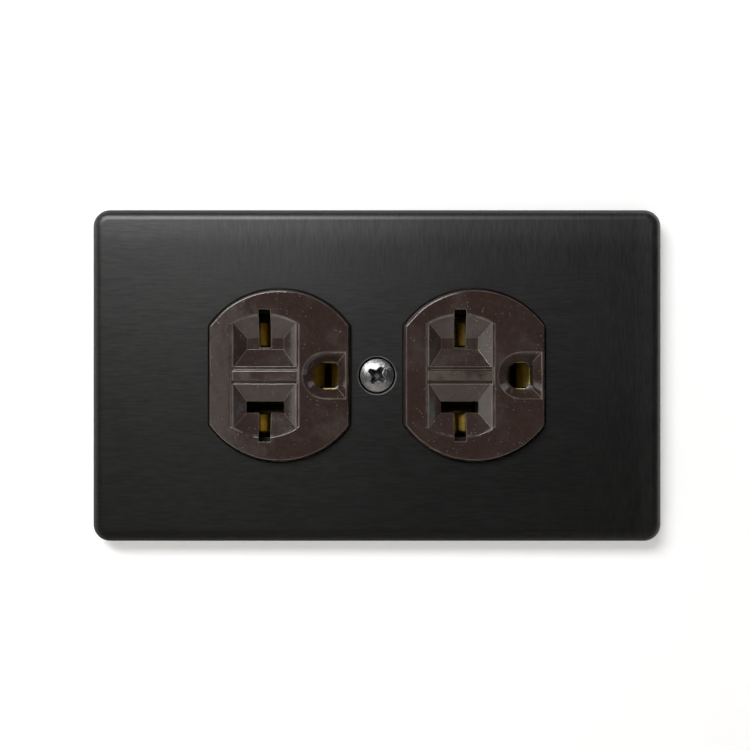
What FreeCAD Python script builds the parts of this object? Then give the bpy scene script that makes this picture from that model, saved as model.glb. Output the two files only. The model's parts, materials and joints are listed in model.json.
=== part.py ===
import FreeCAD, Part
import math
import os

# A horizontal duplex receptacle with its wall plate, in millimetres.
# +X runs along the plate, +Z is up, and the sockets face -Y. The wall's surface is y = 0,
# and the origin is the middle of the plate.

Vector = FreeCAD.Vector
INCH = 25.4
CUT = 0.5

# Wall plate, a drawn metal shell
PLATE_LENGTH = 4.5 * INCH
PLATE_HEIGHT = 66.7
PLATE_FRONT = -5.6
PLATE_WALL = 1.0
PLATE_CORNER_R = 3.4
PLATE_EDGE_R = 2.2
WINDOW_DIAMETER = 34.9
WINDOW_FLATS = 28.7
DIMPLE_RIM_R = 3.85
DIMPLE_HOLE_R = 2.0
DIMPLE_HALF_ANGLE = math.radians(41)

# Socket faces
FACE_SPACING = 1.531 * INCH
FACE_FRONT = -7.5
FACE_FRONT_DIAMETER = 33.6
FACE_FRONT_FLATS = 27.3
FACE_BASE_DIAMETER = 34.6
FACE_BASE_FLATS = 28.4
FACE_DRAFT_START = PLATE_FRONT - 0.1
FACE_EDGE_R = 0.3
SLOT_LINE_OFFSET = -2.9
GROUND_OFFSET = 9.2

# Tapered funnel around each pair of blade slots
FUNNEL_R = 12.4
FUNNEL_HALF = 6.4
LIP_REACH = 6.95
LIP_DEPTH = 0.35
RIDGE_HALF = 1.2
RIDGE_DROP = 0.25
RIDGE_EDGE_R = 0.45
FUNNEL_FLOOR = FACE_FRONT + 2.3
FLOOR_HALF = 3.7
FLOOR_NEAR = 5.2
FLOOR_FAR = 7.5

# Blade slots and grounding holes
SLOT_HALF = 1.2
SLOT_NEAR = 5.55
SLOT_FAR = 13.15
CROSSBAR_HALF = 3.75
GROUND_RIM_R = 4.7
GROUND_RIM_FLAT = 4.1
GROUND_BORE_R = 2.75
GROUND_BORE_FLAT = 2.5
GROUND_TAPER = 1.9
LEAF_MOUTH_HALF = 2.7
LEAF_MOUTH_FRONT = -2.4

# Cover flange and rear housing
FLANGE_FRONT = -3.5
COVER_HALF_X = 34.5
COVER_HALF_Z = 17.6
HOUSING_HALF_X = 34.2
HOUSING_HALF_Z = 17.0
HOUSING_BACK = 24.0
HOUSING_CORNER_R = 2.2
HOUSING_EDGE_R = 1.2
END_NOTCH_FRONT = 19.0
GAP = 0.05

# Mounting strap
STRAP_THICKNESS = 1.3
STRAP_BAND_HALF = 4.6
EAR_HALF = 7.5
EAR_START = 34.9
EAR_END = 51.5
PLASTER_EAR_X = 48.0
PLASTER_EAR_Z = 9.6
PLASTER_EAR_R = 5.2
PLASTER_EAR_HOLE_R = 2.4
BOX_SCREW_X = 3.281 * INCH / 2
STRAP_HOLE_R = 3.1
COLLAR_R = 2.9
COLLAR_BACK = 1.5
CENTRE_TAP_R = 1.8

# Contacts, all in brass strip
BUS_NEAR = 12.2
BUS_FAR = 13.0
BUS_FRONT = 1.5
BUS_BACK = 16.0
BUS_HALF_X = 17.4
FIN_SPAN = (4.6, 11.6)
FIN_HALF = 1.7
FIN_NOTCH_HALF = 2.4
BASE_FRONT = 15.2
LEAF_THICKNESS = 0.5
PINCH_HALF = 0.32
CHAMBER_HALF = 3.0
CHAMBER_BACK = 16.3
GROUND_STRIP_HALF = 3.7
GROUND_STRIP_BACK = 0.8
FINGER_WIDTH = 4.8
FINGER_THICKNESS = 0.55

# Terminals: a clamping plate under each screw
TERMINAL_SPACING = 19.2
TERMINAL_Y = 8.2
TERMINAL_SCREW_R = 2.05
TERMINAL_HEAD_R = 3.9
CLAMP_HALF_X = 4.5
CLAMP_HALF_Y = 4.6
CLAMP_NEAR = 13.15
CLAMP_FAR = 14.3
CLAMP_CORNER_R = 0.8
RECESS_BACK = 17.5
RECESS_FLOOR = 12.1
RECESS_HALF_X = 16.1
WIRE_HOLE_R = 1.45
WIRE_HOLE_Z = 14.6
WIRE_HOLE_SPREAD = 3.2

# Grounding terminal, on a tab bent back from the strap
TAB_X = (35.4, 44.2)
TAB_BACK = 11.4
TAB_OUTSIDE = -EAR_HALF
GROUND_SCREW_X = 39.7
GROUND_SCREW_Y = 6.0
GROUND_CLAMP_HALF = 4.2
HEX_ACROSS_FLATS = 7.1

# Fasteners
SCREW_R = 1.75
PLATE_SCREW_HEAD_R = 3.35
PLATE_SCREW_TIP = 8.0
BOX_SCREW_HEAD_R = 3.4
BOX_SCREW_TIP = 19.0
BOX_SCREW_NECK_R = 1.5
BOX_SCREW_NECK_END = 0.45
RETAINER_R = SCREW_R - 0.1
RETAINER_BACK = 0.4
ASSEMBLY_X = 31.0
ASSEMBLY_Z = 9.5
ASSEMBLY_R = 1.1
ASSEMBLY_HEAD_R = 2.3
RIVET_X = (8.0, 19.0)
RIVET_R = 1.2
RIVET_HEAD_R = 2.1

FACES = {"left": -FACE_SPACING / 2, "right": FACE_SPACING / 2}
SLOT_LINES = [x + SLOT_LINE_OFFSET for x in FACES.values()]
GROUND_PINS = [x + GROUND_OFFSET for x in FACES.values()]
BUS_MIDDLE = SLOT_LINE_OFFSET
TERMINALS = {"left": BUS_MIDDLE - TERMINAL_SPACING / 2, "right": BUS_MIDDLE + TERMINAL_SPACING / 2}


def block(x, y, z):
    """A box between pairs of low and high coordinates."""
    return Part.makeBox(x[1] - x[0], y[1] - y[0], z[1] - z[0], Vector(x[0], y[0], z[0]))


def about(middle, half):
    """The interval that reaches half each way from its middle."""
    return (middle - half, middle + half)


def span(side, near, far):
    """The interval from near to far, above (1) or below (-1) the middle."""
    return (near, far) if side > 0 else (-far, -near)


def rod_y(x, z, radius, y):
    return Part.makeCylinder(radius, y[1] - y[0], Vector(x, y[0], z), Vector(0, 1, 0))


def rod_z(x, y, radius, z):
    return Part.makeCylinder(radius, z[1] - z[0], Vector(x, y, z[0]), Vector(0, 0, 1))


def line(start, end):
    return Part.LineSegment(start, end).toShape()


def prism(points, direction):
    """The polygon through the points, pushed along a direction."""
    return Part.Face(Part.makePolygon(points + [points[0]])).extrude(direction)


def joined(shapes):
    """One solid from touching or overlapping ones."""
    return shapes[0].multiFuse(shapes[1:]).removeSplitter() if len(shapes) > 1 else shapes[0]


def rounded(shape, radius, chosen):
    """The shape with the chosen edges rounded."""
    return shape.makeFillet(radius, [edge for edge in shape.Edges if chosen(edge)])


def runs_along_y(edge):
    box = edge.BoundBox
    return box.XLength < 1e-6 and box.ZLength < 1e-6


def lies_at_y(edge, y):
    return abs(edge.BoundBox.YMin - y) < 1e-6 and abs(edge.BoundBox.YMax - y) < 1e-6


def rounded_block(x, y, z, radius):
    return rounded(block(x, y, z), radius, runs_along_y)


def truncated_disc(x, diameter, flats, y):
    """A disc with two upright flats."""
    return rod_y(x, 0, diameter / 2, y).common(block(about(x, flats / 2), y, about(0, diameter)))


def turned(start, *steps):
    """A solid turned about the Y axis. Each step is a point (radius, y), or an arc as two points."""
    here = Vector(start[0], start[1], 0)
    first = here
    edges = []
    for step in steps:
        if isinstance(step[0], tuple):
            through, end = (Vector(r, y, 0) for r, y in step)
            edges.append(Part.Arc(here, through, end).toShape())
        else:
            end = Vector(step[0], step[1], 0)
            edges.append(line(here, end))
        here = end
    edges.append(line(here, first))
    return Part.Face(Part.Wire(edges)).revolve(Vector(0, 0, 0), Vector(0, 1, 0), 360)


def bent_strip(points, thickness):
    """Corners of a strip: one side follows the points, the other lies a thickness to the right of travel."""
    offset = []
    for i, point in enumerate(points):
        before = points[max(i - 1, 0)]
        after = points[min(i + 1, len(points) - 1)]
        inward = math.atan2(point[1] - before[1], point[0] - before[0]) if i > 0 else None
        outward = math.atan2(after[1] - point[1], after[0] - point[0]) if i < len(points) - 1 else None
        if inward is None:
            inward = outward
        if outward is None:
            outward = inward
        middle = (inward + outward) / 2
        reach = thickness / math.cos((outward - inward) / 2)
        offset.append((point[0] + reach * math.sin(middle), point[1] - reach * math.cos(middle)))
    return points + offset[::-1]


def cross_outline(reach, tip, core, y):
    """A four-pointed cross: arms of half-width tip at their ends that widen to a core."""
    points = []
    for turn in range(4):
        for along, across in ((core, -core), (reach, -tip), (reach, tip)):
            angle = math.atan2(across, along) + math.radians(90 * turn)
            radius = math.hypot(along, across)
            points.append(Vector(radius * math.cos(angle), y, radius * math.sin(angle)))
    return Part.makePolygon(points + [points[0]])


def cross_recess(front, reach, depth, arm=0):
    """A tapered driver recess in a head that faces -Y at the origin, with one arm at a given angle."""
    narrowing = 0.4
    sizes = (reach, reach * 0.2, reach * 0.36)
    recess = Part.makeLoft([cross_outline(*sizes, front),
                            cross_outline(*[size * narrowing for size in sizes], front + depth)], True, True)
    recess.rotate(Vector(0, 0, 0), Vector(0, 1, 0), -arm)
    return recess


def placed(shape, x, y, z, facing=0):
    """The shape moved to a place; facing 1 or -1 first turns its -Y side to +Z or -Z."""
    moved = shape.copy()
    moved.rotate(Vector(0, 0, 0), Vector(1, 0, 0), -90 * facing)
    moved.translate(Vector(x, y, z))
    return moved


def wall_plate():
    half_x, half_z = PLATE_LENGTH / 2, PLATE_HEIGHT / 2
    outside = rounded_block(about(0, half_x), (PLATE_FRONT, 0), about(0, half_z), PLATE_CORNER_R)
    outside = rounded(outside, PLATE_EDGE_R, lambda edge: lies_at_y(edge, PLATE_FRONT))
    inner_front = PLATE_FRONT + PLATE_WALL
    inside = rounded_block(about(0, half_x - PLATE_WALL), (inner_front, CUT),
                           about(0, half_z - PLATE_WALL), PLATE_CORNER_R - PLATE_WALL)
    inside = rounded(inside, PLATE_EDGE_R - PLATE_WALL, lambda edge: lies_at_y(edge, inner_front))
    slope = math.tan(DIMPLE_HALF_ANGLE)
    hole_front = PLATE_FRONT + (DIMPLE_RIM_R - DIMPLE_HOLE_R) / slope
    hole_back = hole_front + 0.45
    wall_across = PLATE_WALL / math.cos(DIMPLE_HALF_ANGLE)
    rim_inside = DIMPLE_RIM_R - PLATE_WALL * slope + wall_across
    neck = DIMPLE_HOLE_R + wall_across
    boss = turned((0, inner_front - 0.2), (rim_inside, inner_front - 0.2), (rim_inside, inner_front),
                  (neck, hole_front), (neck, hole_back), (0, hole_back))
    dimple = turned((0, PLATE_FRONT - CUT), (DIMPLE_RIM_R + CUT * slope, PLATE_FRONT - CUT),
                    (DIMPLE_HOLE_R, hole_front), (DIMPLE_HOLE_R, CUT), (0, CUT))
    through = (PLATE_FRONT - CUT, inner_front + CUT)
    windows = [truncated_disc(x, WINDOW_DIAMETER, WINDOW_FLATS, through) for x in FACES.values()]
    return joined([outside.cut(inside), boss]).cut([dimple] + windows)


def plate_screw():
    slope = math.tan(DIMPLE_HALF_ANGLE)
    head_r = PLATE_SCREW_HEAD_R
    rim = PLATE_FRONT + (DIMPLE_RIM_R - head_r) / slope
    neck = rim + (head_r - GAP - SCREW_R) / slope
    tip = PLATE_SCREW_TIP
    crown = ((head_r * 0.52, rim - 0.77), (head_r, rim - 0.12))
    screw = turned((0, rim - 1.0), crown, (head_r, rim - 0.02), (head_r - GAP, rim), (SCREW_R, neck),
                   (SCREW_R, tip - 1.0), (1.1, tip), (0, tip))
    return screw.cut(cross_recess(rim - 1.1, 2.15, 2.6, 56))


def drafted_face(x):
    """A socket face: straight through the plate's window, and drafted from there to its front."""
    straight = truncated_disc(x, FACE_BASE_DIAMETER, FACE_BASE_FLATS, (FACE_DRAFT_START, FLANGE_FRONT))
    depth = FACE_DRAFT_START - FACE_FRONT
    cone = Part.makeCone(FACE_BASE_DIAMETER / 2, FACE_FRONT_DIAMETER / 2, depth,
                         Vector(x, FACE_DRAFT_START, 0), Vector(0, -1, 0))
    low, reach = -FACE_BASE_DIAMETER, 2 * FACE_BASE_DIAMETER
    base, front = FACE_BASE_FLATS / 2, FACE_FRONT_FLATS / 2
    corners = [Vector(x - base, FACE_DRAFT_START, low), Vector(x + base, FACE_DRAFT_START, low),
               Vector(x + front, FACE_FRONT, low), Vector(x - front, FACE_FRONT, low)]
    face = joined([cone.common(prism(corners, Vector(0, 0, reach))), straight])
    return rounded(face, FACE_EDGE_R, lambda edge: lies_at_y(edge, FACE_FRONT))


def funnel(x, side):
    """The tapered pocket above or below the ridge, between the ridge and the rim's arc."""
    def corner(dx, dz, y):
        return Vector(x + dx, y, side * dz)

    shoulder = math.sqrt(FUNNEL_R ** 2 - FUNNEL_HALF ** 2)
    rim = [corner(-FUNNEL_HALF, RIDGE_HALF, FACE_FRONT), corner(FUNNEL_HALF, RIDGE_HALF, FACE_FRONT),
           corner(FUNNEL_HALF, shoulder, FACE_FRONT), corner(-FUNNEL_HALF, shoulder, FACE_FRONT)]
    arc = Part.Arc(rim[2], corner(0, FUNNEL_R, FACE_FRONT), rim[3]).toShape()
    floor = [corner(-FLOOR_HALF, FLOOR_NEAR, FUNNEL_FLOOR), corner(FLOOR_HALF, FLOOR_NEAR, FUNNEL_FLOOR),
             corner(FLOOR_HALF, FLOOR_FAR, FUNNEL_FLOOR), corner(-FLOOR_HALF, FLOOR_FAR, FUNNEL_FLOOR)]
    top = Part.Wire([line(rim[0], rim[1]), line(rim[1], rim[2]), arc, line(rim[3], rim[0])])
    bottom = Part.Wire([line(floor[i], floor[(i + 1) % 4]) for i in range(4)])
    return Part.makeLoft([top, bottom], True, True)


def funnel_lip(x, side):
    """The bevel along the left (-1) or right (1) side of both funnels."""
    reach = math.sqrt(FUNNEL_R ** 2 - LIP_REACH ** 2)
    outer, inner = x + side * LIP_REACH, x + side * FUNNEL_HALF
    return prism([Vector(outer, FACE_FRONT, -reach), Vector(inner, FACE_FRONT, -reach),
                  Vector(inner, FACE_FRONT + LIP_DEPTH, -reach)], Vector(0, 0, 2 * reach))


def ridge_relief(x):
    """What is cut off the ridge between the funnels, to lower it and round its two long edges."""
    length = about(x, FUNNEL_HALF)
    top = FACE_FRONT + RIDGE_DROP
    blank = block(length, (FACE_FRONT - CUT, top + RIDGE_EDGE_R), about(0, RIDGE_HALF + CUT))
    crest = block(length, (top, FUNNEL_FLOOR), about(0, RIDGE_HALF))
    crest = rounded(crest, RIDGE_EDGE_R, lambda edge: edge.BoundBox.XLength > 1 and lies_at_y(edge, top))
    return blank.cut(crest)


def keyhole(x, y, radius, flat):
    """The outline of a grounding hole: half round on the left, square on the right."""
    top, bottom = Vector(x, y, radius), Vector(x, y, -radius)
    right_top, right_bottom = Vector(x + flat, y, radius), Vector(x + flat, y, -radius)
    return Part.Wire([Part.Arc(top, Vector(x - radius, y, 0), bottom).toShape(), line(bottom, right_bottom),
                      line(right_bottom, right_top), line(right_top, top)])


def face_openings(x):
    """Everything cut into one socket face."""
    slot_x, ground_x = x + SLOT_LINE_OFFSET, x + GROUND_OFFSET
    through, leaf_mouth = (FACE_FRONT - CUT, CUT), (LEAF_MOUTH_FRONT, CUT)
    taper_end = FACE_FRONT + GROUND_TAPER
    bore = Part.Face(keyhole(ground_x, taper_end, GROUND_BORE_R, GROUND_BORE_FLAT))
    return [
        funnel(slot_x, 1), funnel(slot_x, -1),
        funnel_lip(slot_x, -1), funnel_lip(slot_x, 1), ridge_relief(slot_x),
        block(about(slot_x, SLOT_HALF), through, (SLOT_NEAR, SLOT_FAR)),
        block(about(slot_x, SLOT_HALF), through, (-SLOT_FAR, -FLOOR_NEAR)),
        block(about(slot_x, CROSSBAR_HALF), through, (-FLOOR_FAR, -FLOOR_NEAR)),
        block(about(slot_x, LEAF_MOUTH_HALF), leaf_mouth, (SLOT_NEAR - 0.2, SLOT_FAR + 0.15)),
        block(about(slot_x, LEAF_MOUTH_HALF), leaf_mouth, (-SLOT_FAR - 0.15, -FLOOR_NEAR)),
        Part.makeLoft([keyhole(ground_x, FACE_FRONT, GROUND_RIM_R, GROUND_RIM_FLAT),
                       keyhole(ground_x, taper_end, GROUND_BORE_R, GROUND_BORE_FLAT)], True, True),
        bore.extrude(Vector(0, CUT - taper_end, 0)),
    ]


def face_cover():
    flange = rounded_block(about(0, COVER_HALF_X), (FLANGE_FRONT, 0), about(0, COVER_HALF_Z), 2.5)
    cover = joined([flange] + [drafted_face(x) for x in FACES.values()])
    cuts = [block(about(0, COVER_HALF_X + 1), (-STRAP_THICKNESS - GAP, CUT), about(0, STRAP_BAND_HALF + GAP)),
            rod_y(0, 0, 3.7, (FLANGE_FRONT - CUT, CUT))]
    for x in FACES.values():
        cuts += face_openings(x)
    cuts += [rod_y(x, 0, RIVET_HEAD_R + 0.2, (-STRAP_THICKNESS - 0.85, 0)) for x in RIVET_X]
    cuts += [rod_y(x, z, ASSEMBLY_R + GAP, (-5.2, CUT))
             for x in (-ASSEMBLY_X, ASSEMBLY_X) for z in (-ASSEMBLY_Z, ASSEMBLY_Z)]
    return cover.cut(cuts)


def strap_ear(side):
    """One end of the strap, with its adjusting slot and two round plaster ears."""
    def beyond(near, far):
        return span(side, near, far)

    metal = (-STRAP_THICKNESS, 0)
    pieces = [rounded_block(beyond(EAR_START, EAR_END), metal, about(0, EAR_HALF), 1.5)]
    holes = [block(about(side * BOX_SCREW_X, 1.1), (-STRAP_THICKNESS - CUT, CUT), about(0, 2.1))]
    holes += [rod_y(side * BOX_SCREW_X + dx, 0, 2.1, (-STRAP_THICKNESS - CUT, CUT)) for dx in (-1.1, 1.1)]
    for z in (-PLASTER_EAR_Z, PLASTER_EAR_Z):
        pieces.append(rod_y(side * PLASTER_EAR_X, z, PLASTER_EAR_R, metal))
        holes.append(rod_y(side * PLASTER_EAR_X, z, PLASTER_EAR_HOLE_R, (-STRAP_THICKNESS - CUT, CUT)))
    return joined(pieces).cut(holes)


def mounting_strap():
    metal = (-STRAP_THICKNESS, 0)
    tab = block(TAB_X, (-STRAP_THICKNESS, TAB_BACK), (TAB_OUTSIDE, TAB_OUTSIDE + STRAP_THICKNESS))
    tab = rounded(tab, 2.5, lambda edge: edge.BoundBox.ZLength > 1 and lies_at_y(edge, TAB_BACK))
    band = block(about(0, EAR_START + 1), metal, about(0, STRAP_BAND_HALF))
    collar = rod_y(0, 0, COLLAR_R, (-STRAP_THICKNESS, COLLAR_BACK))
    strap = joined([band, strap_ear(-1), strap_ear(1), collar, tab])
    holes = [rod_y(0, 0, CENTRE_TAP_R, (-STRAP_THICKNESS - CUT, COLLAR_BACK + CUT))]
    holes += [rod_y(x, 0, STRAP_HOLE_R, (-STRAP_THICKNESS - CUT, CUT)) for x in GROUND_PINS]
    holes += [rod_y(x, 0, RIVET_R + GAP, (-STRAP_THICKNESS - CUT, CUT)) for x in RIVET_X]
    holes.append(rod_z(GROUND_SCREW_X, GROUND_SCREW_Y, TERMINAL_SCREW_R + GAP,
                       (TAB_OUTSIDE - CUT, TAB_OUTSIDE + STRAP_THICKNESS + CUT)))
    return strap.cut(holes)


def housing_cavities(side):
    """The pockets for one line contact, its terminals and the wires, above or below the middle."""
    front = -CUT
    cuts = [block(about(BUS_MIDDLE, RECESS_HALF_X), (front, RECESS_BACK),
                  span(side, RECESS_FLOOR, HOUSING_HALF_Z + 1)),
            block(about(BUS_MIDDLE, BUS_HALF_X + 0.2), (front, BUS_BACK + 0.2),
                  span(side, RECESS_FLOOR, BUS_FAR + GAP))]
    for x in SLOT_LINES:
        width = about(x, CHAMBER_HALF)
        cuts.append(block(width, (front, CHAMBER_BACK), span(side, SLOT_NEAR - 0.25, 12.7)))
        cuts.append(block(width, (BASE_FRONT - 0.4, CHAMBER_BACK), span(side, 12, BUS_FAR + GAP)))
        if side < 0:
            cuts.append(block(about(x, 3.6), (front, CHAMBER_BACK), span(side, 4.8, 8.0)))
    wire_way = (RECESS_BACK - CUT, HOUSING_BACK + CUT)
    for x in TERMINALS.values():
        cuts.append(rod_z(x, TERMINAL_Y, 2.5, span(side, 7.8, RECESS_FLOOR + 1)))
        cuts += [rod_y(x + dx, side * WIRE_HOLE_Z, WIRE_HOLE_R, wire_way)
                 for dx in (-WIRE_HOLE_SPREAD, WIRE_HOLE_SPREAD)]
    return cuts


def rear_housing():
    housing = rounded_block(about(0, HOUSING_HALF_X), (0, HOUSING_BACK), about(0, HOUSING_HALF_Z),
                            HOUSING_CORNER_R)
    housing = rounded(housing, HOUSING_EDGE_R, lambda edge: lies_at_y(edge, HOUSING_BACK))
    cuts = housing_cavities(1) + housing_cavities(-1)
    cuts.append(rounded_block(about(0, 19), (HOUSING_BACK - 0.4, HOUSING_BACK + CUT), (3.0, 10.5), 1.2))
    cuts.append(block(about(0, 8), (HOUSING_BACK - 1.0, HOUSING_BACK + CUT), about(-6.5, 1.1)))
    for end in (-1, 1):
        sides = span(end, HOUSING_HALF_X - 1.1, HOUSING_HALF_X + 1)
        cuts.append(block(sides, (END_NOTCH_FRONT, HOUSING_BACK + CUT), about(0, 5.5)))
    strip_way = (GROUND_PINS[0] - 4.8, GROUND_PINS[1] + 4.6)
    cuts.append(block(strip_way, (-CUT, 1.7), about(0, GROUND_STRIP_HALF + 0.2)))
    cuts += [block(about(x, 3.3), (-CUT, 12.0), about(0, 3.2)) for x in GROUND_PINS]
    cuts.append(rod_y(0, 0, 2.4, (-CUT, 10)))
    for x in (-ASSEMBLY_X, ASSEMBLY_X):
        for z in (-ASSEMBLY_Z, ASSEMBLY_Z):
            cuts.append(rod_y(x, z, ASSEMBLY_R + 0.1, (-CUT, HOUSING_BACK + CUT)))
            cuts.append(rod_y(x, z, ASSEMBLY_HEAD_R + 0.2, (HOUSING_BACK - 2.2, HOUSING_BACK + CUT)))
    return housing.cut(cuts)


def blade_leaves(x, z):
    """A pair of leaves that pinches a blade from left and right."""
    leaves = []
    for hand in (-1, 1):
        inner = [(PINCH_HALF + 1.1, -1.9), (PINCH_HALF, 2.2), (0.9, 9.0), (1.1, BASE_FRONT + 0.4)]
        outline = [Vector(x + hand * dx, y, z[0]) for dx, y in bent_strip(inner, LEAF_THICKNESS)]
        leaves.append(prism(outline, Vector(0, 0, z[1] - z[0])))
    return leaves


def crossbar_leaves(x, side):
    """A pair of leaves that pinches a blade lying across the slot line."""
    middle, half_x = (FLOOR_NEAR + FLOOR_FAR) / 2, 3.2
    leaves = []
    for hand in (-1, 1):
        inner = [(PINCH_HALF + 0.6, 2.2), (PINCH_HALF, 4.6), (0.75, BASE_FRONT + 0.4)]
        profile = bent_strip(inner, LEAF_THICKNESS)
        outline = [Vector(x - half_x, y, side * (middle + hand * dz)) for dz, y in profile]
        leaves.append(prism(outline, Vector(2 * half_x, 0, 0)))
    return leaves


def line_contact(side):
    """A bus strip with two terminals, a break-off fin and the blade contacts of both sockets."""
    metal = span(side, BUS_NEAR, BUS_FAR)
    bus = block(about(BUS_MIDDLE, BUS_HALF_X), (BUS_FRONT, BUS_BACK), metal)
    notches = [block(about(BUS_MIDDLE, FIN_NOTCH_HALF), (BUS_FRONT - CUT, FIN_SPAN[0]), metal),
               block(about(BUS_MIDDLE, FIN_NOTCH_HALF), (FIN_SPAN[1], BUS_BACK + CUT), metal)]
    pieces = [bus.cut(notches),
              block(about(BUS_MIDDLE, FIN_HALF), FIN_SPAN, span(side, BUS_FAR - 0.1, BUS_FAR + 0.9))]
    for x in SLOT_LINES:
        base = (BASE_FRONT, BUS_BACK)
        pieces.append(block(about(x, 2.6), base, span(side, SLOT_NEAR + 0.4, BUS_FAR)))
        if side > 0:
            pieces += blade_leaves(x, span(side, 6.1, 10.8))
        else:
            pieces.append(block(about(x, 3.4), base, span(side, 5.1, 7.7)))
            pieces += blade_leaves(x, span(side, 7.95, 11.4)) + crossbar_leaves(x, side)
    holes = [rod_z(x, TERMINAL_Y, TERMINAL_SCREW_R + GAP, span(side, BUS_NEAR - CUT, BUS_FAR + CUT))
             for x in TERMINALS.values()]
    return joined(pieces).cut(holes)


def ground_contact_strip():
    metal = (0.02, GROUND_STRIP_BACK)
    low, high = GROUND_PINS[0] - 4.4, GROUND_PINS[1] + 4.2
    strip = rounded_block((low, high), metal, about(0, GROUND_STRIP_HALF), 1.0)
    holes = [rod_y(0, 0, COLLAR_R + 0.2, (-CUT, 2))]
    holes += [rod_y(x, 0, RIVET_R + GAP, (-CUT, 2)) for x in RIVET_X]
    holes += [block(about(x, 2.6), (-CUT, 2), about(0, FINGER_WIDTH / 2 + 0.2)) for x in GROUND_PINS]
    fingers = []
    for x in GROUND_PINS:
        for hand in (-1, 1):
            inner = [(2.5, metal[0]), (2.5, 0.9), (0.7, 6.4), (1.2, 10.2)]
            profile = bent_strip(inner, FINGER_THICKNESS)
            outline = [Vector(x + hand * dx, y, -FINGER_WIDTH / 2) for dx, y in profile]
            fingers.append(prism(outline, Vector(0, 0, FINGER_WIDTH)))
    return joined([strip.cut(holes)] + fingers)


def ground_rivets():
    top, back = -STRAP_THICKNESS, GROUND_STRIP_BACK
    rivet = turned((0, top - 0.65), ((RIVET_HEAD_R * 0.7, top - 0.5), (RIVET_HEAD_R, top)), (RIVET_R, top),
                   (RIVET_R, back), (RIVET_HEAD_R, back), (RIVET_HEAD_R - 0.3, back + 0.6), (0, back + 0.6))
    return Part.makeCompound([placed(rivet, x, 0, 0) for x in RIVET_X])


def terminal_clamp(side, x):
    """The plate that presses wires against the bus."""
    plate = block(about(x, CLAMP_HALF_X), about(TERMINAL_Y, CLAMP_HALF_Y), span(side, CLAMP_NEAR, CLAMP_FAR))
    plate = rounded(plate, CLAMP_CORNER_R, lambda edge: edge.BoundBox.ZLength > 1)
    hole = span(side, CLAMP_NEAR - CUT, CLAMP_FAR + CUT)
    return plate.cut(rod_z(x, TERMINAL_Y, TERMINAL_SCREW_R + GAP, hole))


def binding_screw(head_r, head_height, length):
    """A binding-head screw that faces -Y, with a slot and cross recess. Its head stands on y = 0."""
    screw = turned((0, -head_height), ((head_r * 0.6, -head_height * 0.93), (head_r, -head_height * 0.55)),
                   (head_r, 0), (TERMINAL_SCREW_R, 0), (TERMINAL_SCREW_R, length - 0.7),
                   (TERMINAL_SCREW_R - 0.6, length), (0, length))
    slot = block(about(0, head_r + CUT), (-head_height - CUT, -head_height * 0.45), about(0, 0.55))
    return screw.cut([slot, cross_recess(-head_height - 0.1, 2.1, 1.9)])


def terminal_screw(side, x):
    length = CLAMP_FAR - 8.6
    return placed(binding_screw(TERMINAL_HEAD_R, 2.1, length), x, TERMINAL_Y, side * CLAMP_FAR, side)


def ground_clamp():
    outside = TAB_OUTSIDE - 0.15
    plate = block(about(GROUND_SCREW_X, GROUND_CLAMP_HALF), about(GROUND_SCREW_Y, GROUND_CLAMP_HALF),
                  (outside - 1.1, outside))
    plate = rounded(plate, CLAMP_CORNER_R, lambda edge: edge.BoundBox.ZLength > 1)
    hole = (outside - 2, outside + 1)
    return plate.cut(rod_z(GROUND_SCREW_X, GROUND_SCREW_Y, TERMINAL_SCREW_R + GAP, hole))


def ground_screw():
    across_corners = HEX_ACROSS_FLATS / math.cos(math.radians(30))
    corners = [Vector(across_corners / 2 * math.cos(math.radians(60 * i)), -0.7,
                      across_corners / 2 * math.sin(math.radians(60 * i))) for i in range(6)]
    head = prism(corners, Vector(0, -2.1, 0))
    shank = turned((0, -0.8), (4.1, -0.8), (4.1, 0), (TERMINAL_SCREW_R, 0), (TERMINAL_SCREW_R, 4.6),
                   (TERMINAL_SCREW_R - 0.6, 5.2), (0, 5.2))
    slot = block(about(0, 5), (-3.5, -1.7), about(0, 0.55))
    screw = joined([head, shank]).cut(slot)
    return placed(screw, GROUND_SCREW_X, GROUND_SCREW_Y, TAB_OUTSIDE - 1.25, -1)


def box_screw(side):
    """The long screw that holds one end of the strap to the wall box."""
    under, head_r = -STRAP_THICKNESS - GAP, BOX_SCREW_HEAD_R
    screw = turned((0, under - 2.2), ((head_r * 0.62, under - 1.95), (head_r, under - 0.7)), (head_r, under),
                   (BOX_SCREW_NECK_R, under), (BOX_SCREW_NECK_R, BOX_SCREW_NECK_END),
                   (SCREW_R, BOX_SCREW_NECK_END), (SCREW_R, BOX_SCREW_TIP - 1.0), (1.0, BOX_SCREW_TIP),
                   (0, BOX_SCREW_TIP))
    slot = block(about(0, head_r + CUT), (under - 3, under - 1.2), about(0, 0.45))
    return placed(screw.cut([slot, cross_recess(under - 2.3, 1.9, 1.8)]), side * BOX_SCREW_X, 0, 0)


def retainer_washer():
    """A fibre washer that keeps the right box screw from dropping out of the strap."""
    disc = rod_y(BOX_SCREW_X, 0, 2.9, (0.03, RETAINER_BACK))
    return disc.cut(rod_y(BOX_SCREW_X, 0, RETAINER_R, (-CUT, 2)))


def self_ground_clip():
    """A spring plate behind the strap that keeps the left box screw in and grounds the strap through it."""
    half, sheet, lip = 4.3, 0.38, 1.7
    front = RETAINER_BACK - sheet
    plate = rounded_block(about(0, half), (front, RETAINER_BACK), about(0, 3.3), 0.7)
    lips = [block(span(end, half - sheet, half), (front, lip), about(0, 2.5)) for end in (-1, 1)]
    clip = joined([plate] + lips).cut(rod_y(0, 0, RETAINER_R, (-CUT, 2)))
    return placed(clip, -BOX_SCREW_X, 0, 0)


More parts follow.
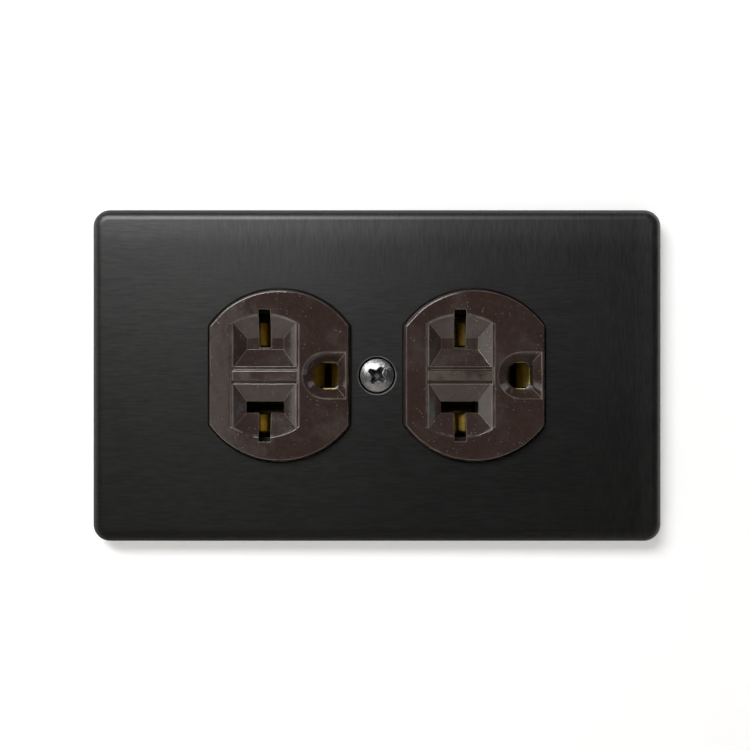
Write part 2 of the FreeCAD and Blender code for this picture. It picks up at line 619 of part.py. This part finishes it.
def assembly_screws():
    """The four screws that clamp the cover, strap and housing together from behind."""
    under = HOUSING_BACK - 2.15
    screw = turned((0, -4.8), (0.6, -4.8), (ASSEMBLY_R, -4.0), (ASSEMBLY_R, under), (ASSEMBLY_HEAD_R, under),
                   (ASSEMBLY_HEAD_R, under + 1.2), ((1.5, under + 1.75), (0, under + 1.95)))
    drive = cross_recess(0, 1.5, 1.1, 45)
    drive.rotate(Vector(0, 0, 0), Vector(1, 0, 0), 180)
    drive.translate(Vector(0, under + 2.0, 0))
    screw = screw.cut(drive)
    return Part.makeCompound([placed(screw, x, 0, z) for x in (-ASSEMBLY_X, ASSEMBLY_X)
                              for z in (-ASSEMBLY_Z, ASSEMBLY_Z)])


def nodes():
    """Every sub-part by name."""
    shapes = {
        "wall_plate": wall_plate(),
        "plate_screw": plate_screw(),
        "face_cover": face_cover(),
        "mounting_strap": mounting_strap(),
        "rear_housing": rear_housing(),
        "line_contact_upper": line_contact(1),
        "line_contact_lower": line_contact(-1),
        "ground_contact_strip": ground_contact_strip(),
        "ground_rivets": ground_rivets(),
        "ground_clamp": ground_clamp(),
        "ground_screw": ground_screw(),
        "box_screw_left": box_screw(-1),
        "box_screw_right": box_screw(1),
        "retainer_washer": retainer_washer(),
        "self_ground_clip": self_ground_clip(),
        "assembly_screws": assembly_screws(),
    }
    for level, side in (("upper", 1), ("lower", -1)):
        for hand, x in TERMINALS.items():
            shapes[f"terminal_clamp_{level}_{hand}"] = terminal_clamp(side, x)
            shapes[f"terminal_screw_{level}_{hand}"] = terminal_screw(side, x)
    return shapes


os.makedirs("parts", exist_ok=True)
for name, shape in nodes().items():
    shape.exportStep(f"parts/{name}.step")
    print(name, "solids", len(shape.Solids), "valid", shape.isValid(), "volume", round(shape.Volume, 1))
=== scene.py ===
import json
import math

import bmesh
import bpy
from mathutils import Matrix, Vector


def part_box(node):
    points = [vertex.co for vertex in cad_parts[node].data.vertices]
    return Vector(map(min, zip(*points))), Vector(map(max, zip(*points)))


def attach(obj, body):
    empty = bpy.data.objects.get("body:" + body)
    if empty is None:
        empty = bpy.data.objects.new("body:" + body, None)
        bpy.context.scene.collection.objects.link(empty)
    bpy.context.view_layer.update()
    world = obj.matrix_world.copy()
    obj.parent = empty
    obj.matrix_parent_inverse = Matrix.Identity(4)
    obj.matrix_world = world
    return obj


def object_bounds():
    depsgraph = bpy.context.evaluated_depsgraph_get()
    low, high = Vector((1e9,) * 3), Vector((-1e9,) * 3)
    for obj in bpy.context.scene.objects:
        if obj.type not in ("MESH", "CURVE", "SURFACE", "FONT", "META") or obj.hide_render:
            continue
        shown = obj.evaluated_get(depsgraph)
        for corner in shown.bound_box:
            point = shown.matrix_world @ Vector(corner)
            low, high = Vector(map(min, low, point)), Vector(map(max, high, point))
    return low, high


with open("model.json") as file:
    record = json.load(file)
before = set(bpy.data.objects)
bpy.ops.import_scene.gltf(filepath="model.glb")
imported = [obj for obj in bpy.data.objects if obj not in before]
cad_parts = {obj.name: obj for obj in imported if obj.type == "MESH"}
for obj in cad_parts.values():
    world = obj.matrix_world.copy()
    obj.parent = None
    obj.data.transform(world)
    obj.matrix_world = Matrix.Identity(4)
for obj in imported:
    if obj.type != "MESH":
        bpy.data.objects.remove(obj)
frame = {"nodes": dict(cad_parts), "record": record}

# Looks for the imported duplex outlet, in metres, in the frame of the CAD model:
# +X along the plate, +Z up, the sockets face -Y and the wall's surface is y = 0.

MM = 0.001
CAD_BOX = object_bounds()
NODES = frame["nodes"]

# Camera: square on to the plate and level with its middle
CAMERA_DISTANCE = 228 * MM
PLATE_SHARE = 0.755
PLATE_SHOULDER = 2.2 * MM
FRAMING_OFFSET = Vector((-0.4 * MM, 0, 0.1 * MM))
SENSOR_WIDTH = 36
CLIP_START = 5 * MM

# Stage
WALL_GAP = 0.15 * MM
WALL_OPENING_INSET = 4 * MM
FLOOR_BELOW = 200 * MM
STAGE_HALF = 0.8
FLAG_HALF, FLAG_Y, FLAG_TOP = 0.45, -0.75, 0.10
WALL_TONE, WALL_GLOW = (0.86, 0.86, 0.86), 0.34
FLOOR_TONE = (0.70, 0.67, 0.62)
FLAG_TONE = (0.02, 0.02, 0.02)
WORLD_STRENGTH = 0.05
WARM = (1.0, 0.98, 0.92)
COOL = (0.86, 0.95, 1.0)

# Edges are worn round by these radii, in millimetres
PLATE_EDGE = 0.18
MOULDED_EDGE = 0.16
METAL_EDGE = 0.08
SCREW_EDGE = 0.13

# Radius where the dimple round the plate screw meets the plate's front, in millimetres
DIMPLE_RIM = 3.85

# Zones of the plate's finish, in millimetres: where its brushing turns upright, and how the specular level
# of its enamel goes from one share to another along X, Y or Z.
# This is painted sheen: a painted highlight towards the top and right edges, and painted shade towards the
# bottom, the left and the sides.
UPRIGHT_TOP = (13, 27)
UPRIGHT_LEFT = (-50, -25)
UPRIGHT_RIGHT = (36, 50)
PAINTED_SHEEN_UP = (-30, 25, 0.75, 1.15)
PAINTED_SHEEN_TOP_EDGE = (25, 30.5, 1.0, 1.4)
PAINTED_SHEEN_BOTTOM_EDGE = (-33.2, -30.5, 0.25, 1.0)
PAINTED_SHEEN_LEFT = (-56, -15, 0.84, 1.0)
PAINTED_SHEEN_RIGHT = (15, 45, 1.0, 1.12)
PAINTED_SHEEN_RIGHT_EDGE = (50, 56, 1.0, 1.35)
PAINTED_SHEEN_SIDES = (-5.0, -4.4, 1.0, 0.12)
# Specular level in the painted shade of crevices and the screw's dimple, and out of it
SHEEN_IN_PAINTED_SHADE, SHEEN_OUT_OF_PAINTED_SHADE = 0.02, 0.5

# Nearly all values of a noise lie between these
NOISE_LOW, NOISE_HIGH = 0.3, 0.7

# Heights of the contacts that lie across the slot line, in millimetres
ARC_BAND = (-7.75, -5.0)

# Threads stand a little proud of the plain shanks: root radius, crest radius and pitch. The crest's and
# the foot's half widths are shares of the pitch.
THREAD_STEPS = 28
THREAD_FADE_TURNS = 0.5
CREST_HALF, FOOT_HALF = 0.06, 0.42
THREAD_POINT = 0.9 * MM
THREAD_FRONT = {"box_screw_left": 2.2 * MM, "box_screw_right": 1.0 * MM, "plate_screw": 2.2 * MM}
SCREW_THREAD = (1.72 * MM, 1.86 * MM, 25.4 / 32 * MM)
GROUND_THREAD = (2.02 * MM, 2.18 * MM, 25.4 / 32 * MM)
GROUND_THREAD_LENGTH = 3.2 * MM


class Graph:
    """The shader nodes of one material, made by short calls. Positions are in millimetres."""

    def __init__(self, name, edge=0.0):
        self.material = bpy.data.materials.new(name)
        self.material.use_nodes = True
        self.tree = self.material.node_tree
        self.tree.nodes.clear()
        self.here = self.node("ShaderNodeTexCoord").outputs["Object"]
        self.normal = None
        if edge:
            self.rounded = self.node("ShaderNodeBevel", {"Radius": edge * MM}, samples=8).outputs[0]
            self.normal = self.rounded

    def set(self, socket, value):
        if isinstance(value, bpy.types.NodeSocket):
            self.tree.links.new(value, socket)
        elif isinstance(value, tuple) and socket.type == "RGBA":
            socket.default_value = (*value, 1.0)
        else:
            socket.default_value = value

    def node(self, kind, inputs=None, **settings):
        made = self.tree.nodes.new(kind)
        for key, value in settings.items():
            setattr(made, key, value)
        for key, value in (inputs or {}).items():
            self.set(made.inputs[key], value)
        return made

    def place(self, stretch=(1, 1, 1), turn=(0, 0, 0)):
        scale = [s / MM for s in stretch]
        inputs = {"Vector": self.here, "Scale": scale, "Rotation": turn}
        return self.node("ShaderNodeMapping", inputs).outputs[0]

    def noise(self, scale, detail=3.0, rough=0.55, stretch=(1, 1, 1), turn=(0, 0, 0)):
        inputs = {"Vector": self.place(stretch, turn), "Scale": scale, "Detail": detail, "Roughness": rough}
        return self.node("ShaderNodeTexNoise", inputs).outputs["Fac"]

    def cells(self, scale):
        inputs = {"Vector": self.place(), "Scale": scale}
        return self.node("ShaderNodeTexVoronoi", inputs).outputs["Distance"]

    def crevice(self, reach):
        """1 in the open and towards 0 in corners and holes, within a reach in millimetres."""
        return self.node("ShaderNodeAmbientOcclusion", {"Distance": reach * MM}, samples=8).outputs["AO"]

    def sharp_edge(self, low=0.01, high=0.08):
        """1 along sharp edges and 0 on open faces."""
        plain = self.node("ShaderNodeNewGeometry").outputs["Normal"]
        match = self.node("ShaderNodeVectorMath", {0: self.rounded, 1: plain}, operation="DOT_PRODUCT")
        return self.remap(self.math("SUBTRACT", 1.0, match.outputs["Value"]), low, high)

    def remap(self, value, low, high, to_low=0.0, to_high=1.0, smooth=False):
        inputs = {"Value": value, "From Min": low, "From Max": high, "To Min": to_low, "To Max": to_high}
        kind = "SMOOTHSTEP" if smooth else "LINEAR"
        return self.node("ShaderNodeMapRange", inputs, interpolation_type=kind).outputs["Result"]

    def spread(self, noise, to_low=0.0, to_high=1.0):
        return self.remap(noise, NOISE_LOW, NOISE_HIGH, to_low, to_high)

    def coordinate(self, axis):
        """Distance from the origin along one axis, in millimetres."""
        parts = self.node("ShaderNodeSeparateXYZ", {"Vector": self.here})
        return self.math("DIVIDE", parts.outputs[axis], MM)

    def mix(self, share, first, second):
        return self.node("ShaderNodeMix", {0: share, 2: first, 3: second}, data_type="FLOAT").outputs[0]

    def math(self, operation, a, b=0.0):
        return self.node("ShaderNodeMath", {0: a, 1: b}, operation=operation).outputs[0]

    def product(self, first, *others):
        for other in others:
            first = self.math("MULTIPLY", first, other)
        return first

    def blend(self, share, first, second):
        inputs = {"Factor": share, 6: first, 7: second}
        return self.node("ShaderNodeMix", inputs, data_type="RGBA").outputs[2]

    def bump(self, height, depth):
        """Adds relief to the surface, its height from 0 to 1 standing for a depth in millimetres."""
        inputs = {"Height": height, "Strength": 1.0, "Distance": depth * MM}
        if self.normal:
            inputs["Normal"] = self.normal
        self.normal = self.node("ShaderNodeBump", inputs).outputs["Normal"]

    def finish(self, color, roughness, **extra):
        names = {"metallic": "Metallic", "ior": "IOR", "specular": "Specular IOR Level"}
        inputs = {"Base Color": color, "Roughness": roughness}
        if self.normal:
            inputs["Normal"] = self.normal
        for key, value in extra.items():
            inputs[names[key]] = value
        surface = self.node("ShaderNodeBsdfPrincipled", inputs).outputs[0]
        self.node("ShaderNodeOutputMaterial", {"Surface": surface})
        return self.material


def plate_black():
    """Satin black enamel over brushed steel. The brushing turns upright near the top and right edges.
    A painted sheen makes the enamel shine most along the top and right edges and least along the bottom and
    the sides.
    Painted shade blackens the screw's dimple and the crevices, and the dimple's rim is lightened, partly as
    bare steel and partly as painted highlight."""
    dark, light, shade = (0.0003, 0.0003, 0.0004), (0.0012, 0.0012, 0.0013), (0.0002, 0.0002, 0.0002)
    worn_and_highlit, bare_steel_and_highlight = (0.12, 0.12, 0.12), (0.22, 0.22, 0.22)
    g = Graph("plate_black_enamel", PLATE_EDGE)
    along = g.noise(1.0, 5, 0.7, (0.32, 1, 3.4))
    upright = g.noise(1.0, 5, 0.7, (3.4, 1, 0.36), (0, 0.12, 0))
    cloud = g.noise(0.06, 3, 0.5)
    x, y, z = (g.coordinate(axis) for axis in "XYZ")
    near_top = g.product(g.remap(z, *UPRIGHT_TOP, smooth=True), g.remap(x, *UPRIGHT_LEFT, smooth=True))
    near_edge = g.math("MAXIMUM", near_top, g.remap(x, *UPRIGHT_RIGHT, smooth=True))
    streaks = g.mix(near_edge, along, upright)
    color = g.blend(g.spread(streaks), dark, light)
    # Sharp edges lightened, partly as wear and partly as painted highlight
    color = g.blend(g.product(g.sharp_edge(), 0.3), color, worn_and_highlit)

    from_screw = g.math("SQRT", g.math("ADD", g.product(x, x), g.product(z, z)))
    out_of_dimple = g.remap(from_screw, DIMPLE_RIM - 0.3, DIMPLE_RIM - 0.1)
    # Painted shade: crevices and the dimple round the plate screw are blackened
    outside_painted_shade = g.product(g.remap(g.crevice(0.7), 0.5, 0.8), out_of_dimple)
    color = g.blend(outside_painted_shade, shade, color)
    # The dimple's rim lightened towards steel, partly as wear and partly as painted highlight
    rim = g.product(g.remap(from_screw, DIMPLE_RIM - 0.15, DIMPLE_RIM - 0.06),
                    g.remap(from_screw, DIMPLE_RIM + 0.08, DIMPLE_RIM - 0.01),
                    g.remap(g.noise(0.5, 3), 0.35, 0.65, 0.3, 1.0))
    color = g.blend(rim, color, bare_steel_and_highlight)

    roughness = g.math("ADD", g.spread(cloud, 0.40, 0.43), g.spread(streaks, -0.02, 0.02))
    # Painted sheen and painted shade: the specular level rises towards the top and right edges and falls
    # towards the bottom, the sides and in crevices, over the brushing's own variation
    brushing_and_painted_sheen = g.product(g.remap(outside_painted_shade, 0.0, 1.0, SHEEN_IN_PAINTED_SHADE, SHEEN_OUT_OF_PAINTED_SHADE), g.spread(streaks, 0.8, 1.2),
                      g.remap(z, *PAINTED_SHEEN_UP), g.remap(z, *PAINTED_SHEEN_TOP_EDGE, smooth=True),
                      g.remap(z, *PAINTED_SHEEN_BOTTOM_EDGE), g.remap(x, *PAINTED_SHEEN_RIGHT_EDGE, smooth=True),
                      g.remap(x, *PAINTED_SHEEN_LEFT), g.remap(x, *PAINTED_SHEEN_RIGHT), g.remap(y, *PAINTED_SHEEN_SIDES))
    g.bump(streaks, 0.005)
    return g.finish(color, roughness, specular=brushing_and_painted_sheen, ior=1.5)


def face_brown():
    """Glossy brown thermoset with handling haze and dust. Its edges and the rims of its front are
    lightened, partly as wear and partly as painted highlight.
    """
    dark, light, film = (0.029, 0.0178, 0.0148), (0.043, 0.0268, 0.0228), (0.11, 0.094, 0.084)
    dust, worn_and_highlit, rubbed_and_highlit = (0.50, 0.46, 0.42), (0.27, 0.235, 0.20), (0.20, 0.17, 0.145)
    g = Graph("face_brown_thermoset", MOULDED_EDGE)
    patches = g.remap(g.noise(0.11, 6, 0.65), 0.46, 0.72, smooth=True)
    haze = g.product(patches, g.remap(g.noise(2.4, 4, 0.75), 0.38, 0.62, 0.25, 1.0))
    specks = g.product(g.remap(g.cells(1.5), 0.14, 0.07), g.remap(g.noise(0.35, 2), 0.46, 0.58))
    swirl = g.noise(1.1, 6, 0.75)
    color = g.blend(g.spread(swirl), dark, light)
    color = g.blend(g.product(haze, 0.44), color, film)
    color = g.blend(g.product(specks, 0.6), color, dust)
    # Sharp edges lightened, partly as wear and partly as painted highlight
    color = g.blend(g.product(g.sharp_edge(), 0.8), color, worn_and_highlit)
    # A thin band just inside the front's rims lightened, partly as rubbing and partly as painted highlight
    depth = g.math("SUBTRACT", g.coordinate("Y"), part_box("face_cover")[0].y / MM)
    rim = g.product(g.remap(depth, 0.03, 0.08), g.remap(depth, 0.30, 0.20),
                    g.remap(g.noise(0.25, 3), 0.4, 0.62, 0.05, 0.6))
    color = g.blend(rim, color, rubbed_and_highlit)
    roughness = g.math("ADD", g.spread(swirl, 0.07, 0.12), g.product(haze, 0.16))
    g.bump(g.noise(0.45, 3, 0.5), 0.03)
    return g.finish(color, roughness, ior=1.6)


def housing_black():
    """Moulded dark thermoset with a fine sparked texture."""
    g = Graph("housing_black_thermoset", MOULDED_EDGE)
    spark = g.noise(9, 3, 0.6)
    cloud = g.noise(0.12, 4, 0.6)
    color = g.blend(g.remap(cloud, 0.35, 0.7), (0.016, 0.0135, 0.013), (0.026, 0.022, 0.021))
    # Painted shade: corners and crevices darkened
    color = g.blend(g.remap(g.crevice(2.5), 0.1, 0.7), (0.004, 0.0035, 0.003), color)
    g.bump(spark, 0.03)
    return g.finish(color, g.spread(cloud, 0.42, 0.56), ior=1.5)


def metal(name, dark, light, roughness, stretch):
    """Plated or rolled metal with drawing lines along one direction. Painted shade darkens its recesses,
    which are also rougher.
    """
    g = Graph(name, METAL_EDGE)
    lines = g.noise(1.0, 4, 0.65, stretch)
    cloud = g.noise(0.3, 4, 0.6)
    outside_painted_shade = g.remap(g.crevice(1.0), 0.25, 0.75)
    color = g.blend(g.spread(cloud), dark, light)
    # Painted shade in recesses
    color = g.blend(outside_painted_shade, tuple(0.12 * c for c in dark), color)
    rough = g.math("ADD", g.spread(lines, roughness - 0.05, roughness + 0.07), g.spread(cloud, -0.03, 0.05))
    rough = g.math("ADD", rough, g.remap(outside_painted_shade, 0.0, 1.0, 0.35, 0.0))
    g.bump(lines, 0.006)
    return g.finish(color, rough, metallic=1.0)


def brass_strip():
    """Bright rolled brass, darkened by arcing where the lower contacts pinch a blade lying across."""
    g = Graph("brass_strip", METAL_EDGE)
    lines = g.noise(1.0, 4, 0.65, (0.3, 3, 3))
    cloud = g.noise(0.3, 4, 0.6)
    z = g.coordinate("Z")
    low, high = ARC_BAND
    sooty = g.product(g.remap(z, low - 0.3, low, smooth=True), g.remap(z, high + 0.3, high, smooth=True))
    color = g.blend(g.spread(cloud), (0.92, 0.70, 0.16), (1.0, 0.82, 0.26))
    color = g.blend(g.product(sooty, 0.85), color, (0.05, 0.035, 0.015))
    rough = g.math("ADD", g.spread(lines, 0.25, 0.37), g.product(sooty, 0.25))
    g.bump(lines, 0.006)
    return g.finish(color, rough, metallic=0.6)


def nickel_plate():
    """Nickel scratched by a screwdriver. Painted shade darkens the recess, which is also rougher and less
    metallic.
    """
    g = Graph("scratched_nickel", SCREW_EDGE)
    scratches = [g.noise(1.0, 4, 0.75, (9, 1, 0.9), (0, turn, 0)) for turn in (0.6, 0.75, 2.4)]
    relief = g.math("ADD", g.math("ADD", scratches[0], scratches[1]), scratches[2])
    cloud = g.noise(1.1, 4, 0.6)
    outside_painted_shade = g.remap(g.crevice(0.9), 0.45, 0.8)
    color = g.blend(g.spread(cloud), (0.22, 0.22, 0.225), (0.38, 0.38, 0.385))
    color = g.blend(g.product(g.sharp_edge(), 0.6), color, (0.75, 0.75, 0.76))
    # Painted shade in the recess
    color = g.blend(outside_painted_shade, (0.005, 0.005, 0.005), color)
    rough = g.math("ADD", g.remap(relief, 1.2, 1.8, 0.22, 0.36), g.remap(outside_painted_shade, 0.0, 1.0, 0.4, 0.0))
    g.bump(relief, 0.03)
    return g.finish(color, rough, metallic=g.remap(outside_painted_shade, 0.0, 1.0, 0.2, 1.0))


def green_screw():
    """Steel plated and dyed green, for the grounding wire."""
    g = Graph("green_plating", METAL_EDGE)
    cloud = g.noise(0.6, 4, 0.6)
    outside_painted_shade = g.remap(g.crevice(1.0), 0.25, 0.75)
    color = g.blend(g.spread(cloud), (0.015, 0.13, 0.045), (0.035, 0.22, 0.08))
    # Painted shade in recesses
    color = g.blend(outside_painted_shade, (0.003, 0.02, 0.008), color)
    g.bump(g.noise(4, 3), 0.01)
    return g.finish(color, g.spread(cloud, 0.26, 0.4), metallic=0.65)


def fibre_washer():
    """Red-brown vulcanised fibre."""
    g = Graph("vulcanised_fibre", METAL_EDGE)
    fibre = g.noise(2.5, 5, 0.7, (1, 1, 3))
    color = g.blend(g.spread(fibre), (0.16, 0.035, 0.02), (0.27, 0.07, 0.04))
    g.bump(fibre, 0.03)
    return g.finish(color, g.spread(fibre, 0.55, 0.7))


def make_materials():
    return {
        "plate_black": plate_black(),
        "face_brown": face_brown(),
        "housing_black": housing_black(),
        "nickel_plate": nickel_plate(),
        "zinc_steel": metal("zinc_strap", (0.50, 0.51, 0.53), (0.66, 0.67, 0.69), 0.32, (0.12, 1, 4)),
        "rivet_steel": metal("rivet_steel", (0.5, 0.5, 0.52), (0.66, 0.66, 0.68), 0.3, (2, 2, 2)),
        "screw_steel": metal("zinc_screw", (0.5, 0.51, 0.52), (0.68, 0.69, 0.7), 0.28, (1.5, 1.5, 1.5)),
        "clamp_steel": metal("clamp_steel", (0.52, 0.52, 0.52), (0.68, 0.68, 0.67), 0.3, (0.2, 3, 1)),
        "brass": brass_strip(),
        "brass_screw": metal("brass_screw", (0.62, 0.44, 0.17), (0.8, 0.6, 0.28), 0.24, (2, 2, 2)),
        "spring_bronze": metal("spring_bronze", (0.5, 0.32, 0.15), (0.64, 0.43, 0.22), 0.3, (0.2, 2, 2)),
        "green_screw": green_screw(),
        "fibre_washer": fibre_washer(),
    }


def dress_nodes(materials):
    """Gives every CAD node the procedural material of its slot."""
    for part in frame["record"]["subparts"]:
        mesh = NODES[part["node"]].data
        mesh.materials.clear()
        mesh.materials.append(materials[part["material_slot"]])


def thread_ridge(name, body, slot, material, start, along, length, root, crest, pitch):
    """A closed helical ridge round a shank, riding on the shank's body. It fades in and out at its ends."""
    side = along.orthogonal().normalized()
    up = along.cross(side)
    mesh = bmesh.new()
    count = int(length / pitch * THREAD_STEPS)
    fade_steps = THREAD_FADE_TURNS * THREAD_STEPS
    flat = along * (CREST_HALF * pitch)
    foot = along * (FOOT_HALF * pitch)
    rings = []
    for i in range(count + 1):
        angle = 2 * math.pi * i / THREAD_STEPS
        fade = min(1.0, i / fade_steps, (count - i) / fade_steps)
        centre = start + along * (length * i / count)
        outward = side * math.cos(angle) + up * math.sin(angle)
        top = root + (crest - root) * fade
        points = (centre + outward * root - foot, centre + outward * top - flat,
                  centre + outward * top + flat, centre + outward * root + foot)
        rings.append([mesh.verts.new(point) for point in points])
    for near, far in zip(rings, rings[1:]):
        for k in range(4):
            mesh.faces.new((near[k], near[(k + 1) % 4], far[(k + 1) % 4], far[k]))
    mesh.faces.new(rings[0][::-1])
    mesh.faces.new(rings[-1])
    bmesh.ops.recalc_face_normals(mesh, faces=mesh.faces)
    data = bpy.data.meshes.new(name)
    mesh.to_mesh(data)
    mesh.free()
    data.materials.append(material)
    ridge = bpy.data.objects.new(name, data)
    bpy.context.collection.objects.link(ridge)
    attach(ridge, body)


def make_threads(materials):
    """The threads that show: on the two box screws, the plate screw and the grounding screw."""
    for node, slot in (("box_screw_left", "screw_steel"), ("box_screw_right", "screw_steel"),
                       ("plate_screw", "nickel_plate")):
        low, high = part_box(node)
        start = Vector(((low.x + high.x) / 2, THREAD_FRONT[node], (low.z + high.z) / 2))
        thread_ridge(node + "_thread", node, slot, materials[slot], start, Vector((0, 1, 0)),
                     high.y - THREAD_POINT - start.y, *SCREW_THREAD)
    low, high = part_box("ground_screw")
    start = Vector(((low.x + high.x) / 2, (low.y + high.y) / 2, high.z - GROUND_THREAD_LENGTH))
    thread_ridge("ground_screw_thread", "ground_screw", "green_screw", materials["green_screw"], start,
                 Vector((0, 0, 1)), GROUND_THREAD_LENGTH - THREAD_POINT, *GROUND_THREAD)


def stage_material(name, tone, glow=0.0, one_sided=False):
    """Matt paint in one tone, lit from within by a glow. One-sided paint doesn't show from behind."""
    g = Graph(name)
    paint = g.blend(g.spread(g.noise(0.02, 3)), tone, tuple(0.98 * c for c in tone))
    g.bump(g.noise(0.8, 4, 0.6), 0.02)
    inputs = {"Base Color": paint, "Roughness": 0.85, "Normal": g.normal, "Emission Strength": glow}
    surface = g.node("ShaderNodeBsdfPrincipled", inputs).outputs[0]
    if one_sided:
        back = g.node("ShaderNodeNewGeometry").outputs["Backfacing"]
        clear = g.node("ShaderNodeBsdfTransparent").outputs[0]
        surface = g.node("ShaderNodeMixShader", {"Fac": back, 1: surface, 2: clear}).outputs[0]
    g.node("ShaderNodeOutputMaterial", {"Surface": surface})
    return g.material


def stage_sheet(name, corners, faces, material):
    """Flat stage panels. The corners of each face run anticlockwise as seen from its front."""
    mesh = bpy.data.meshes.new(name)
    mesh.from_pydata(corners, [], faces)
    mesh.materials.append(material)
    panel = bpy.data.objects.new(name, mesh)
    bpy.context.collection.objects.link(panel)
    return panel


def make_stage():
    """A pale floor, and a white wall with an opening for the device. The wall has no back."""
    floor = CAD_BOX[0].z - FLOOR_BELOW
    h = STAGE_HALF
    stage_sheet("floor", [(-h, -h, floor), (h, -h, floor), (h, h, floor), (-h, h, floor)], [(0, 1, 2, 3)],
                stage_material("pale_floor", FLOOR_TONE))
    low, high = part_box("wall_plate")
    x, z, y = high.x - WALL_OPENING_INSET, high.z - WALL_OPENING_INSET, WALL_GAP
    outer = [(-h, y, floor), (h, y, floor), (h, y, h), (-h, y, h)]
    inner = [(-x, y, -z), (x, y, -z), (x, y, z), (-x, y, z)]
    faces = [(i, (i + 1) % 4, 4 + (i + 1) % 4, 4 + i) for i in range(4)]
    stage_sheet("wall", outer + inner, faces, stage_material("white_wall", WALL_TONE, WALL_GLOW, True))


def make_flag():
    """A black card behind the camera, for the glossy fronts to reflect."""
    floor = CAD_BOX[0].z - FLOOR_BELOW
    x, y, top = FLAG_HALF, FLAG_Y, FLAG_TOP
    card = stage_sheet("flag", [(x, y, floor), (-x, y, floor), (-x, y, top), (x, y, top)], [(0, 1, 2, 3)],
                       stage_material("black_card", FLAG_TONE))
    card.visible_camera = False


def panel_light(name, place, target, width, height, radiance, color=(1, 1, 1)):
    """A softbox of a given brightness, aimed at a point."""
    data = bpy.data.lights.new(name, "AREA")
    data.color = color
    data.shape = "RECTANGLE"
    data.size = width
    data.size_y = height
    data.energy = radiance * math.pi * width * height
    light = bpy.data.objects.new(name, data)
    light.location = place
    light.rotation_euler = (Vector(target) - Vector(place)).to_track_quat("-Z", "Y").to_euler()
    bpy.context.collection.objects.link(light)


def make_lights():
    panel_light("key", (-0.193, -0.477, 0.309), (0, 0, 0), 0.344, 0.196, 14.5)
    panel_light("left_front", (-0.178, -0.50, 0.0), (-0.178, 0, 0), 0.18, 0.30, 0.70, WARM)
    panel_light("left_side", (-0.75, -0.20, 0.05), (0, -0.20, 0.05), 0.42, 0.5, 1.2, WARM)
    panel_light("right_low", (0.75, -0.10, -0.15), (0, 0, 0), 0.26, 0.26, 0.6, COOL)
    panel_light("right_back", (0.50, 0.45, 0.15), (0, 0.01, 0), 0.4, 0.4, 5.0)
    panel_light("back_fill", (-0.10, 0.60, 0.35), (0, 0.02, 0), 0.4, 0.4, 10.0)


def make_world():
    """Dim, even studio surroundings."""
    world = bpy.data.worlds.new("studio")
    world.use_nodes = True
    background = world.node_tree.nodes["Background"]
    background.inputs["Color"].default_value = (1, 1, 1, 1)
    background.inputs["Strength"].default_value = WORLD_STRENGTH
    bpy.context.scene.world = world


def make_camera():
    """Square on to the plate, sized so that the plate fills its share of the frame's width."""
    low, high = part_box("wall_plate")
    shoulder = low.y + PLATE_SHOULDER
    width = (high.x - low.x) / PLATE_SHARE
    data = bpy.data.cameras.new("camera")
    data.sensor_width = SENSOR_WIDTH
    data.lens = data.sensor_width * CAMERA_DISTANCE / width
    data.clip_start = CLIP_START
    camera = bpy.data.objects.new("camera", data)
    camera.location = Vector((0, shoulder - CAMERA_DISTANCE, 0)) + FRAMING_OFFSET
    camera.rotation_euler = (math.radians(90), 0, 0)
    bpy.context.collection.objects.link(camera)
    bpy.context.scene.camera = camera


bpy.context.scene.view_settings.view_transform = "Standard"
make_camera()
make_world()
make_lights()
make_stage()
make_flag()
finishes = make_materials()
dress_nodes(finishes)
make_threads(finishes)
